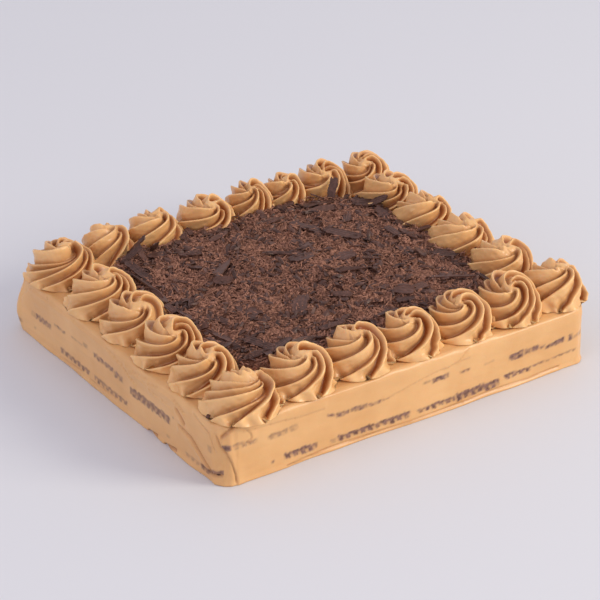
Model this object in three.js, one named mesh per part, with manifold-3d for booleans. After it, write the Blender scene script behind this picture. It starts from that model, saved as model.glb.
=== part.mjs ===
// Icebox cake: chocolate biscuits layered with coffee buttercream, iced all over, with a border of
// piped buttercream rosettes round a bed of chocolate shavings.
//
// Millimetres, +Z up. The cake stands on z = 0 with its footprint centred on the origin. Its long
// side runs along X, and the front is the face towards -Y.

import * as THREE from "three";
import { mergeVertices } from "three/addons/utils/BufferGeometryUtils.js";
import Module from "manifold-3d";

const manifold = await Module();
manifold.setup();

// ---------------------------------------------------------------- driving dimensions

const CAKE_LENGTH = 230; // along X, over the icing
const CAKE_WIDTH = 206; // along Y, over the icing
const CAKE_HEIGHT = 33; // board to the flat iced top
const CORNER_RADIUS = 14; // vertical corners of the iced block
const ICING_WAVE = 0.5; // how far the spread icing wanders from true
const ICING_WAVE_LENGTHS = { along: 17, across: 21, alongRise: 9, acrossRise: 7 }; // over 2 pi
const ICING_STEPS = { corner: 5, side: 6 }; // straight stretches in each corner and each side
const GAP = 0.3; // clearance between pieces that touch

const BISCUIT = {
  length: 52, width: 37, thickness: 3.6, toothPitch: 4.4, toothDepth: 1.2,
  toothShows: 0.15, // how far a tooth that shows stands out of the icing
};
const BISCUIT_SPACING = { x: 55.6, y: 40.2 }; // centre to centre
const JOINT_DEPTH = 5; // how far the cream between two biscuits reaches in from the side
const LAYER_HEIGHTS = { lower: 6.2, upper: 19.2 }; // middle of each biscuit layer
const LAYER_WAVE = 1.1; // rise and fall of a layer across the cake
const LAYER_WAVE_LENGTHS = { x: 37, y: 31, slanted: 52 }; // over 2 pi
const ICING_OVER_BISCUIT = 1.5; // icing left on a biscuit edge that doesn't show

const ROSETTE_RIDGES = 8;
const ROSETTE_TWIST = THREE.MathUtils.degToRad(125); // ridge turn from rim to tip
const ROSETTE_GROOVE = 0.24; // groove depth as a share of the radius

const BED_EDGE_HEIGHT = 8.5; // chocolate shavings above the iced top, at the rosettes
const BED_MIDDLE_HEIGHT = 11.5;
const BED_BUMP = 1.1;
const BED_CLEARANCE = 1; // from the widest of each rosette
const BED_REACH = { x: 84, y: 74 }; // furthest the shavings run in between two rosettes
const BED_CELL = 8; // spacing of the bumps
const BED_EDGE_STEPS = 72; // places found round the bed's edge
const BED_EDGE_START = 40; // the search for the edge starts this far from the middle
const BED_STEP = 0.25; // fineness of the search for the bed's edge
const BED_SHOULDER = { drop: 2, reach: 3 }; // how the bed falls off towards a rosette
const FLAKE_THICKNESS = 1.4;
const FLAKE_SINK = 0.2; // how deep a flake lies in the bed
const FLAKE_PLACES = { from: 0.2, share: 0.6 }; // the part of its cell that a flake may lie in
const PITCH_SHARE = 0.4; // a flake's lengthways tilt as a share of its sideways tilt
// Sizes run from the first number to the first plus the second.
const BIG_FLAKES = { count: 38, length: [11, 14], width: [3.5, 4], curl: [0.8, 1.6], tilt: 0.55 };
const SMALL_FLAKES = { count: 70, length: [5, 4], width: [1.6, 1.4], tilt: 0.35 };
const SEEDS = { shavings: 26, rosetteTurns: 7 };

// The rosettes on each side, left to right or front to back: place along the side, radius, height.
const ROSETTE_ROWS = [
  { side: "front", axis: "x", across: -84, rosettes: [
    [-57, 18.5, 20], [-24, 18, 20.5], [10, 16.5, 20], [43, 17.5, 20.5], [76, 19, 22]] },
  { side: "right", axis: "y", across: 97, rosettes: [
    [-49, 18.5, 20.5], [-13, 19, 20], [21, 18, 20.5], [52, 18.5, 20.5]] },
  { side: "back", axis: "x", across: 85, rosettes: [
    [-68, 16.5, 21], [-38, 17, 20.5], [-4, 18, 20.5], [26, 15.5, 23], [47, 15.5, 21.5],
    [73, 17.5, 21.5]] },
  { side: "left", axis: "y", across: -95, rosettes: [
    [-58, 18.5, 20], [-25, 19, 21], [8, 18.5, 20], [41, 19, 20]] },
];
const CORNER_ROSETTES = {
  front_left: [-94, -86, 19.5, 19],
  front_right: [101, -85, 17.5, 21.5],
  back_right: [101, 83, 16, 20.5],
  back_left: [-93, 83, 20, 20],
};

const COLOURS = { buttercream: 0xd19a63, biscuit: 0x3a241b, chocolate: 0x3b2622 };

// ---------------------------------------------------------------- shared shape tools

// A repeatable random number generator, so that the cake is the same each time it is built.
function seededRandom(seed) {
  let state = seed;
  return () => {
    state = (state * 1664525 + 1013904223) % 4294967296;
    return state / 4294967296;
  };
}

// A closed solid through rings of points, all with the same count, running anticlockwise seen
// from above and stacked upwards. A flat face closes each end.
function skinRings(rings) {
  const count = rings[0].length;
  const positions = rings.flat().flatMap((point) => [point.x, point.y, point.z]);
  const faces = [];
  for (let ring = 0; ring < rings.length - 1; ring += 1) {
    for (let i = 0; i < count; i += 1) {
      const a = ring * count + i;
      const b = ring * count + ((i + 1) % count);
      faces.push(a, b, b + count, a, b + count, a + count);
    }
  }
  const capFaces = (ring) =>
    THREE.ShapeUtils.triangulateShape(ring.map((point) => new THREE.Vector2(point.x, point.y)), []);
  for (const [a, b, c] of capFaces(rings[0])) {
    faces.push(a, c, b);
  }
  const top = (rings.length - 1) * count;
  for (const [a, b, c] of capFaces(rings[rings.length - 1])) {
    faces.push(top + a, top + b, top + c);
  }
  const geometry = new THREE.BufferGeometry();
  geometry.setAttribute("position", new THREE.Float32BufferAttribute(positions, 3));
  geometry.setIndex(faces);
  return geometry;
}

function toSolid(geometry) {
  const bare = geometry.clone();
  bare.deleteAttribute("normal");
  bare.deleteAttribute("uv");
  const merged = mergeVertices(bare, 1e-4);
  return new manifold.Manifold(
    new manifold.Mesh({
      numProp: 3,
      vertProperties: new Float32Array(merged.attributes.position.array),
      triVerts: new Uint32Array(merged.index.array),
    })
  );
}

function fromSolid(solid) {
  const mesh = solid.getMesh();
  const positions = new Float32Array(mesh.numVert * 3);
  for (let v = 0; v < mesh.numVert; v += 1) {
    for (let axis = 0; axis < 3; axis += 1) {
      positions[3 * v + axis] = mesh.vertProperties[mesh.numProp * v + axis];
    }
  }
  const geometry = new THREE.BufferGeometry();
  geometry.setAttribute("position", new THREE.BufferAttribute(positions, 3));
  geometry.setIndex(new THREE.BufferAttribute(new Uint32Array(mesh.triVerts), 1));
  return geometry;
}

function largestPiece(solid) {
  const pieces = solid.decompose();
  return pieces.reduce((best, piece) => (piece.volume() > best.volume() ? piece : best));
}

function addMesh(group, name, geometry, colour, roughness) {
  const shown = geometry.toNonIndexed();
  shown.computeVertexNormals();
  const material = new THREE.MeshStandardMaterial({ color: colour, roughness, metalness: 0 });
  const mesh = new THREE.Mesh(mergeVertices(shown), material);
  mesh.name = name;
  group.add(mesh);
}

// Points of a rectangle with round corners, anticlockwise from the front left corner. The straight
// part of each side is cut into sideSteps stretches and each corner into cornerSteps.
function roundedRectangle(halfX, halfY, radius, cornerSteps, sideSteps) {
  const corners = [
    [-halfX + radius, -halfY + radius, Math.PI],
    [halfX - radius, -halfY + radius, 1.5 * Math.PI],
    [halfX - radius, halfY - radius, 0],
    [-halfX + radius, halfY - radius, 0.5 * Math.PI],
  ];
  const points = [];
  corners.forEach(([x, y, start], corner) => {
    for (let step = 0; step <= cornerSteps; step += 1) {
      const angle = start + (step / cornerSteps) * 0.5 * Math.PI;
      points.push(new THREE.Vector2(x + radius * Math.cos(angle), y + radius * Math.sin(angle)));
    }
    const [nextX, nextY, nextStart] = corners[(corner + 1) % 4];
    const from = points[points.length - 1];
    const to = new THREE.Vector2(
      nextX + radius * Math.cos(nextStart),
      nextY + radius * Math.sin(nextStart)
    );
    for (let step = 1; step < sideSteps; step += 1) {
      points.push(from.clone().lerp(to, step / sideSteps));
    }
  });
  return points;
}

// ---------------------------------------------------------------- biscuit layers

// The middle height of a layer at a place: it rises and falls, and each biscuit lies a little
// higher or lower than the next.
function layerHeight(layer, x, y) {
  const phase = layer === "upper" ? 0.6 : 2.4;
  const lengths = LAYER_WAVE_LENGTHS;
  const wave =
    Math.sin(x / lengths.x + phase) +
    Math.sin(y / lengths.y - phase) +
    Math.sin((x - y) / lengths.slanted + 2 * phase);
  return LAYER_HEIGHTS[layer] + LAYER_WAVE * 0.5 * wave;
}

// Stretches where the biscuit edges show through the icing: side, layer, from, to.
const SHOWING = [
  ["front", "upper", -70, -56], ["front", "upper", -50, -18], ["front", "upper", 6, 23],
  ["front", "upper", 62, 104],
  ["front", "lower", -77, -58], ["front", "lower", -46, 56], ["front", "lower", 59, 76],
  ["left", "upper", 63, 81], ["left", "upper", -12, 19], ["left", "upper", -57, -18],
  ["left", "lower", 24, 51], ["left", "lower", -12, 17], ["left", "lower", -98, -84],
];

function edgeShows(side, layer, along) {
  return SHOWING.some(([s, l, from, to]) => s === side && l === layer && along > from && along < to);
}

// One side of a layer seen from above, as [place along the side, depth in from the icing's face].
// Biscuits have a toothed edge, and cream fills the joint between two of them.
function biscuitEdge(side, layer, grow) {
  const alongX = side === "front" || side === "back";
  const size = alongX ? BISCUIT.length : BISCUIT.width;
  const spacing = alongX ? BISCUIT_SPACING.x : BISCUIT_SPACING.y;
  const count = alongX ? 4 : 5;
  const teeth = Math.round(size / BISCUIT.toothPitch);
  const pitch = size / teeth;
  const seen = side === "front" || side === "left";
  const points = [];
  for (let biscuit = 0; biscuit < count; biscuit += 1) {
    const start = (biscuit - (count - 1) / 2) * spacing - size / 2;
    const firstShown = points.length;
    for (let tooth = 0; tooth < teeth; tooth += 1) {
      const middle = start + (tooth + 0.5) * pitch;
      if (!seen || !edgeShows(side, layer, middle)) {
        continue;
      }
      points.push([middle, -BISCUIT.toothShows - grow]);
      if (tooth < teeth - 1 && edgeShows(side, layer, middle + pitch)) {
        points.push([middle + pitch / 2, BISCUIT.toothDepth - BISCUIT.toothShows - grow]);
      }
    }
    if (points.length > firstShown) {
      const covered = ICING_OVER_BISCUIT - grow;
      const first = points[firstShown][0] - pitch / 2;
      const last = points[points.length - 1][0] + pitch / 2;
      const before = [[start - grow, covered], [first, covered]];
      const after = [[last, covered], [start + size + grow, covered]];
      if (first - start > 1) {
        points.splice(firstShown, 0, ...before);
      }
      if (start + size - last > 1) {
        points.push(...after);
      }
    } else {
      points.push([start - grow, ICING_OVER_BISCUIT - grow]);
      points.push([start + size + grow, ICING_OVER_BISCUIT - grow]);
    }
    if (biscuit < count - 1) {
      const jointStart = start + size + grow;
      const jointEnd = start + spacing - grow;
      points.push([jointStart, JOINT_DEPTH - grow], [jointEnd, JOINT_DEPTH - grow]);
    }
  }
  return points;
}

// Draws a place near one of the block's round corners in to a radius about the corner's centre.
function keepInsideCorner(x, y, radius) {
  const centreX = Math.sign(x) * (CAKE_LENGTH / 2 - CORNER_RADIUS);
  const centreY = Math.sign(y) * (CAKE_WIDTH / 2 - CORNER_RADIUS);
  const dx = x - centreX;
  const dy = y - centreY;
  const distance = Math.hypot(dx, dy);
  if (dx * x <= 0 || dy * y <= 0 || distance <= radius) {
    return [x, y];
  }
  return [centreX + (dx * radius) / distance, centreY + (dy * radius) / distance];
}

// A whole layer as one slab through the cake, grown all round by the clearance when it cuts the
// icing. The corners keep clear of the block's round corners.
function biscuitLayer(layer, grow) {
  const halfX = CAKE_LENGTH / 2;
  const halfY = CAKE_WIDTH / 2;
  const outline = [];
  for (const [along, depth] of biscuitEdge("front", layer, grow)) {
    outline.push([along, -halfY + depth]);
  }
  for (const [along, depth] of biscuitEdge("right", layer, grow)) {
    outline.push([halfX - depth, along]);
  }
  for (const [along, depth] of biscuitEdge("back", layer, grow).reverse()) {
    outline.push([along, halfY - depth]);
  }
  for (const [along, depth] of biscuitEdge("left", layer, grow).reverse()) {
    outline.push([-halfX + depth, along]);
  }
  const half = BISCUIT.thickness / 2 + grow;
  const corner = CORNER_RADIUS - ICING_OVER_BISCUIT + grow;
  const inside = outline.map(([x, y]) => keepInsideCorner(x, y, corner));
  const ring = (offset) =>
    inside.map(([x, y]) => new THREE.Vector3(x, y, layerHeight(layer, x, y) + offset));
  return skinRings([ring(-half), ring(half)]);
}

// ---------------------------------------------------------------- iced block

// The block of buttercream, spread with a palette knife: sides a little uneven, a rounded top edge.
function icedBlock() {
  const levels = [
    [0, 0.9], [1.4, 0.1], [0.38 * CAKE_HEIGHT, 0.15], [CAKE_HEIGHT - 3, 0.2],
    [CAKE_HEIGHT - 1, 0.9], [CAKE_HEIGHT, 2.8],
  ];
  const { corner, side } = ICING_STEPS;
  const base = roundedRectangle(CAKE_LENGTH / 2, CAKE_WIDTH / 2, CORNER_RADIUS, corner, side);
  const lengths = ICING_WAVE_LENGTHS;
  const rings = levels.map(([z, inset]) =>
    base.map((point) => {
      const wave =
        Math.sin(point.x / lengths.along + z / lengths.alongRise) *
        Math.cos(point.y / lengths.across - z / lengths.acrossRise);
      const pull = inset + ICING_WAVE * (0.5 + 0.5 * wave);
      const scaleX = 1 - pull / (CAKE_LENGTH / 2);
      const scaleY = 1 - pull / (CAKE_WIDTH / 2);
      return new THREE.Vector3(point.x * scaleX, point.y * scaleY, z);
    })
  );
  return skinRings(rings);
}

function cream() {
  const layers = ["lower", "upper"].map((layer) => toSolid(biscuitLayer(layer, GAP)));
  const block = layers.reduce((solid, layer) => solid.subtract(layer), toSolid(icedBlock()));
  return fromSolid(largestPiece(block));
}

// ---------------------------------------------------------------- rosettes

function rosetteList() {
  const list = [];
  for (const row of ROSETTE_ROWS) {
    row.rosettes.forEach(([along, radius, height], index) => {
      const x = row.axis === "x" ? along : row.across;
      const y = row.axis === "x" ? row.across : along;
      list.push({ name: `rosette_${row.side}_${index + 1}`, x, y, radius, height });
    });
  }
  for (const [corner, [x, y, radius, height]] of Object.entries(CORNER_ROSETTES)) {
    list.push({ name: `rosette_corner_${corner}`, x, y, radius, height });
  }
  return list;
}

// How far a rosette may reach in a direction before it meets the one beside it: soft buttercream
// squashes flat where two meet, on the plane between them.
function reachBeforeNeighbour(rosette, others, angle, radius) {
  let reach = radius;
  for (const other of others) {
    if (other === rosette) {
      continue;
    }
    const dx = other.x - rosette.x;
    const dy = other.y - rosette.y;
    const distance = Math.hypot(dx, dy);
    if (distance > rosette.radius + other.radius) {
      continue;
    }
    const plane = (distance * rosette.radius) / (rosette.radius + other.radius) - GAP / 2;
    const cosine = (Math.cos(angle) * dx + Math.sin(angle) * dy) / distance;
    if (cosine > 0) {
      reach = Math.min(reach, plane / cosine);
    }
  }
  return reach;
}

// A piped swirl: ridges left by a star nozzle climb the dome, turning as they go, and meet at a tip.
function rosetteGeometry(rosette, others, turn) {
  const levels = [
    [0, 0.9], [0.1, 0.99], [0.3, 0.98], [0.52, 0.86], [0.72, 0.66], [0.88, 0.42], [0.97, 0.2],
  ];
  const base = CAKE_HEIGHT + GAP;
  const rings = levels.map(([share, spread]) => {
    const ring = [];
    for (let i = 0; i < 2 * ROSETTE_RIDGES; i += 1) {
      const crest = i % 2 === 0;
      const angle = turn + (i / (2 * ROSETTE_RIDGES)) * 2 * Math.PI + ROSETTE_TWIST * share ** 1.4;
      const full = rosette.radius * spread * (crest ? 1 : 1 - ROSETTE_GROOVE);
      const reach = reachBeforeNeighbour(rosette, others, angle, full);
      ring.push(
        new THREE.Vector3(
          rosette.x + reach * Math.cos(angle),
          rosette.y + reach * Math.sin(angle),
          base + share * rosette.height
        )
      );
    }
    return ring;
  });
  return skinRings(rings);
}

// ---------------------------------------------------------------- chocolate shavings

// Clearance from a place to the nearest rosette, seen from above.
function clearOfRosettes(x, y, rosettes) {
  return Math.min(...rosettes.map((r) => Math.hypot(x - r.x, y - r.y) - r.radius));
}

// Whether shavings may lie at a place: clear of the rosettes and inside the line of their tips.
function bedMayCover(place, rosettes) {
  const insideTips = Math.abs(place.x) < BED_REACH.x && Math.abs(place.y) < BED_REACH.y;
  return insideTips && clearOfRosettes(place.x, place.y, rosettes) > BED_CLEARANCE;
}

// The bed's edge: out from the middle until it meets a rosette or the line of rosette tips, then
// drawn in wherever a straight stretch would cut a rosette.
function bedEdge(rosettes, steps) {
  const place = (step, reach) => {
    const angle = (step / steps) * 2 * Math.PI;
    return new THREE.Vector2(reach * Math.cos(angle), reach * Math.sin(angle));
  };
  const reaches = [];
  for (let step = 0; step < steps; step += 1) {
    let reach = BED_EDGE_START;
    while (bedMayCover(place(step, reach + BED_STEP), rosettes)) {
      reach += BED_STEP;
    }
    reaches.push(reach);
  }
  for (let step = 0; step < steps; step += 1) {
    const next = (step + 1) % steps;
    const stretchIsClear = () => {
      const from = place(step, reaches[step]);
      const to = place(next, reaches[next]);
      return [0.2, 0.4, 0.5, 0.6, 0.8].every((share) =>
        bedMayCover(from.clone().lerp(to, share), rosettes)
      );
    };
    while (!stretchIsClear()) {
      const longer = reaches[step] > reaches[next] ? step : next;
      reaches[longer] -= BED_STEP;
      if (longer === step && step > 0) {
        step -= 1;
      }
    }
  }
  return reaches.map((reach, step) => place(step, reach));
}

// The height of the bed's top, highest in the middle, before its bumps.
function bedTop(x, y) {
  const fromMiddle = Math.min(1, Math.hypot(x / BED_REACH.x, y / BED_REACH.y));
  const dome = BED_MIDDLE_HEIGHT + (BED_EDGE_HEIGHT - BED_MIDDLE_HEIGHT) * fromMiddle ** 2;
  return CAKE_HEIGHT + GAP + dome;
}

function bedCore(rosettes, random) {
  const [lengthCells, widthCells] = [2 * BED_REACH.x, 2 * BED_REACH.y].map((size) =>
    Math.round(size / BED_CELL)
  );
  const height = BED_MIDDLE_HEIGHT;
  const box = new THREE.BoxGeometry(
    2 * BED_REACH.x + 2, 2 * BED_REACH.y + 2, height, lengthCells, widthCells, 1
  );
  box.deleteAttribute("normal");
  box.deleteAttribute("uv");
  const grid = mergeVertices(box);
  const position = grid.attributes.position;
  for (let i = 0; i < position.count; i += 1) {
    const x = position.getX(i);
    const y = position.getY(i);
    const clearance = Math.max(0, clearOfRosettes(x, y, rosettes));
    const shoulder = BED_SHOULDER.drop * Math.exp(-clearance / BED_SHOULDER.reach);
    const top = bedTop(x, y) + BED_BUMP * (2 * random() - 1) - shoulder;
    position.setZ(i, position.getZ(i) > 0 ? top : CAKE_HEIGHT + GAP);
  }
  const edge = bedEdge(rosettes, BED_EDGE_STEPS);
  const wellAboveTheBed = CAKE_HEIGHT + 3 * height;
  const prism = skinRings([
    edge.map((p) => new THREE.Vector3(p.x, p.y, CAKE_HEIGHT)),
    edge.map((p) => new THREE.Vector3(p.x, p.y, wellAboveTheBed)),
  ]);
  return toSolid(grid).intersect(toSolid(prism));
}

// A flake shaved off a block: a thin plate with slanting ends, arched if it has a curl.
function flake(length, width, thickness, curl) {
  const slant = 0.25 * width;
  const outline = new THREE.Shape();
  outline.moveTo(-length / 2, 0);
  if (curl > 0) {
    outline.lineTo(0, curl);
  }
  outline.lineTo(length / 2, 0);
  outline.lineTo(length / 2 - slant, thickness);
  if (curl > 0) {
    outline.lineTo(0, curl + thickness);
  }
  outline.lineTo(-length / 2 + slant, thickness);
  outline.closePath();
  const geometry = new THREE.ExtrudeGeometry(outline, {
    depth: width, steps: 1, bevelEnabled: false,
  });
  geometry.translate(0, 0, -width / 2);
  geometry.rotateX(Math.PI / 2);
  return geometry;
}

// Lays flakes over the bed, one near the middle of each cell of an even grid.
function scatterFlakes(sizes, tilt, rosettes, random) {
  const rows = Math.ceil(Math.sqrt((sizes.length * BED_REACH.y) / BED_REACH.x));
  const columns = Math.ceil(sizes.length / rows);
  const laid = [];
  sizes.forEach((size, index) => {
    const column = index % columns;
    const row = Math.floor(index / columns);
    const { from, share } = FLAKE_PLACES;
    const x = BED_REACH.x * (2 * ((column + from + share * random()) / columns) - 1);
    const y = BED_REACH.y * (2 * ((row + from + share * random()) / rows) - 1);
    const geometry = flake(...size);
    geometry.rotateX(tilt * (2 * random() - 1));
    geometry.rotateY(PITCH_SHARE * tilt * (2 * random() - 1));
    geometry.rotateZ(random() * Math.PI);
    geometry.translate(x, y, bedTop(x, y) - FLAKE_SINK);
    const corners = geometry.attributes.position;
    let clear = true;
    for (let i = 0; i < corners.count && clear; i += 1) {
      clear = bedMayCover({ x: corners.getX(i), y: corners.getY(i) }, rosettes);
    }
    if (clear) {
      laid.push(geometry);
    }
  });
  return laid;
}

function shavings(rosettes) {
  const random = seededRandom(SEEDS.shavings);
  const between = ([least, range], share) => least + range * share;
  const bigSizes = Array.from({ length: BIG_FLAKES.count }, () => [
    between(BIG_FLAKES.length, random() ** 2), // mostly short, a few long
    between(BIG_FLAKES.width, random()),
    FLAKE_THICKNESS,
    between(BIG_FLAKES.curl, random()),
  ]);
  const smallSizes = Array.from({ length: SMALL_FLAKES.count }, () => [
    between(SMALL_FLAKES.length, random()),
    between(SMALL_FLAKES.width, random()),
    FLAKE_THICKNESS,
    0,
  ]);
  const flakes = [
    ...scatterFlakes(bigSizes, BIG_FLAKES.tilt, rosettes, random),
    ...scatterFlakes(smallSizes, SMALL_FLAKES.tilt, rosettes, random),
  ];
  const core = bedCore(rosettes, random);
  const heap = flakes.reduce((solid, geometry) => solid.add(toSolid(geometry)), core);
  return fromSolid(largestPiece(heap));
}

// ---------------------------------------------------------------- the whole cake

const cake = new THREE.Group();
addMesh(cake, "cream", cream(), COLOURS.buttercream, 0.45);
addMesh(cake, "biscuit_layer_lower", biscuitLayer("lower", 0), COLOURS.biscuit, 0.85);
addMesh(cake, "biscuit_layer_upper", biscuitLayer("upper", 0), COLOURS.biscuit, 0.85);

const rosettes = rosetteList();
const turns = seededRandom(SEEDS.rosetteTurns);
for (const rosette of rosettes) {
  const geometry = rosetteGeometry(rosette, rosettes, turns() * 2 * Math.PI);
  addMesh(cake, rosette.name, geometry, COLOURS.buttercream, 0.4);
}
addMesh(cake, "chocolate_shavings", shavings(rosettes), COLOURS.chocolate, 0.7);

// Centre the whole footprint on the origin.
const footprint = new THREE.Box3().setFromObject(cake).getCenter(new THREE.Vector3());
cake.position.set(-footprint.x, -footprint.y, 0);

export default cake;
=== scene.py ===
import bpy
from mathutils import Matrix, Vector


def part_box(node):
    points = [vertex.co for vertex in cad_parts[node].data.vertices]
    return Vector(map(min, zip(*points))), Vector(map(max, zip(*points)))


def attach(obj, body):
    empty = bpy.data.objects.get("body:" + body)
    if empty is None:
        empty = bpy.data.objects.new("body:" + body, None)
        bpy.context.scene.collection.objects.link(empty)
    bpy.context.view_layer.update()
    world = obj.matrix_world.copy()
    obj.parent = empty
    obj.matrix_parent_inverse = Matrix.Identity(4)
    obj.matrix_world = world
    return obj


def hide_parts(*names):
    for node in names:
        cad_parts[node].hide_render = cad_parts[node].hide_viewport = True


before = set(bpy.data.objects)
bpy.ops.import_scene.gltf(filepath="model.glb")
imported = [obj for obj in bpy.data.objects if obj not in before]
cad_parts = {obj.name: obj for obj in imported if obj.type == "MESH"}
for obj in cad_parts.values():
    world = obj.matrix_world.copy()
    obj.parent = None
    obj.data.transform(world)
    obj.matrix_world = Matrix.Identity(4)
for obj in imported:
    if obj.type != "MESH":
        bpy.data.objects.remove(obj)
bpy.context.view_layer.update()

import math
import bpy
import numpy as np
from mathutils import Vector

# ---------------------------------------------------------------- the iced block
# A slab of coffee buttercream, spread over the biscuits and squared up with a palette knife.
# The knife leaves long shallow waves and fine streaks, a rolled lip round the top edge, folds at
# the near corner and a thin foot along the bottom.

MM = 0.001
CAKE_LENGTH, CAKE_WIDTH, CAKE_HEIGHT = 230.0, 206.0, 33.0
CORNER_RADIUS = 10.0
cream_low, cream_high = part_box("cream")
block_centre = Vector(((cream_low.x + cream_high.x) / 2, (cream_low.y + cream_high.y) / 2, 0))


def sheet(name, columns, rows, place):
    """A grid rolled up into a closed skin: place(u, v) gives each vertex in mm from the block's
    middle, with its painted shade in a fold or a pressed line and its painted light on a crest if it
    has them, and the seam and the ends, where vertices meet, are welded."""
    bpy.ops.object.select_all(action="DESELECT")
    bpy.ops.mesh.primitive_grid_add(x_subdivisions=columns, y_subdivisions=rows, size=2)
    made = bpy.context.object
    made.name = made.data.name = name
    flat = np.empty(3 * len(made.data.vertices))
    made.data.vertices.foreach_get("co", flat)
    flat = flat.reshape(-1, 3)
    x, y, z, *layers = place((flat[:, 0] + 1) / 2, (flat[:, 1] + 1) / 2)
    points = np.stack(np.broadcast_arrays(x, y, z), -1) * MM + np.array(block_centre)
    made.data.vertices.foreach_set("co", points.astype(np.float32).ravel())
    for label, values in zip(("crease_shade", "crest"), layers):
        set_layer(made, label, values)
    bpy.ops.object.mode_set(mode="EDIT")
    bpy.ops.mesh.select_all(action="SELECT")
    bpy.ops.mesh.remove_doubles(threshold=2e-6)
    bpy.ops.object.mode_set(mode="OBJECT")
    bpy.ops.object.shade_smooth()
    return made


def places_of(piece):
    """The piece's vertices in mm from the block's middle."""
    flat = np.empty(3 * len(piece.data.vertices))
    piece.data.vertices.foreach_get("co", flat)
    return (flat.reshape(-1, 3) - np.array(block_centre)) / MM


def set_layer(piece, name, values):
    """Keeps one number for each vertex, for the material to read."""
    layer = piece.data.attributes.new(name, "FLOAT", "POINT")
    layer.data.foreach_set("value", np.asarray(values, np.float32))


def ripple(x, y, z, wavelength, seed, waves=12):
    """A smooth random wave, mostly between -1 and 1, over places in mm."""
    draw = np.random.default_rng(seed)
    total = 0
    for _ in range(waves):
        heading = draw.normal(size=3)
        heading /= np.linalg.norm(heading)
        rate = 2 * math.pi / (wavelength * draw.uniform(0.7, 1.5))
        turn = draw.uniform(0, 2 * math.pi)
        total = total + np.sin((x * heading[0] + y * heading[1] + z * heading[2]) * rate + turn)
    return total * math.sqrt(2 / waves) * 0.6


def ramp(low, high, value):
    """Goes smoothly from 0 at low to 1 at high."""
    share = np.clip((value - low) / (high - low), 0, 1)
    return share * share * (3 - 2 * share)


def outline(u, inset):
    """A place on the block's outline seen from above, u of the way round from the front left
    corner and drawn in by inset, and the way out of the block there."""
    half_x, half_y, r = CAKE_LENGTH / 2, CAKE_WIDTH / 2, CORNER_RADIUS
    arc = 0.5 * math.pi * r
    lengths = [2 * half_x - 2 * r, arc, 2 * half_y - 2 * r, arc] * 2
    ends = np.cumsum([0] + lengths)
    s = u * ends[-1]
    x, y = np.zeros_like(s), np.zeros_like(s)
    nx, ny = np.zeros_like(s), np.zeros_like(s)
    sides = [((-half_x + r, -half_y), (1, 0)), ((half_x, -half_y + r), (0, 1)),
             ((half_x - r, half_y), (-1, 0)), ((-half_x, half_y - r), (0, -1))]
    for k, ((ax, ay), (dx, dy)) in enumerate(sides):
        on = (s >= ends[2 * k]) & (s <= ends[2 * k + 1])
        x[on], y[on] = ax + dx * (s[on] - ends[2 * k]), ay + dy * (s[on] - ends[2 * k])
        nx[on], ny[on] = dy, -dx
        on = (s > ends[2 * k + 1]) & (s <= ends[2 * k + 2])
        turn = (s[on] - ends[2 * k + 1]) / r + math.atan2(-dx, dy)
        mx = ax + dx * lengths[2 * k] - dy * r
        my = ay + dy * lengths[2 * k] + dx * r
        x[on], y[on] = mx + r * np.cos(turn), my + r * np.sin(turn)
        nx[on], ny[on] = np.cos(turn), np.sin(turn)
    near = np.minimum(inset, 0.8 * r)
    shrink = 1 - np.maximum(inset - near, 0) / (half_y - near)
    return (x - nx * near) * shrink, (y - ny * near) * shrink, nx, ny


def knife_marks(x, y, z, nx, ny):
    """How far the icing stands out from true on the sides."""
    along = x * -ny + y * nx
    across = x * nx + y * ny
    waves = 0.4 * ripple(along, across, z * 1.5, 60, 3)
    streaks = 0.11 * ripple(along / 9, across / 9, z, 5.5, 4)
    fine = 0.04 * ripple(along / 5, across, z, 1.8, 5)
    return waves + streaks + fine


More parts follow.
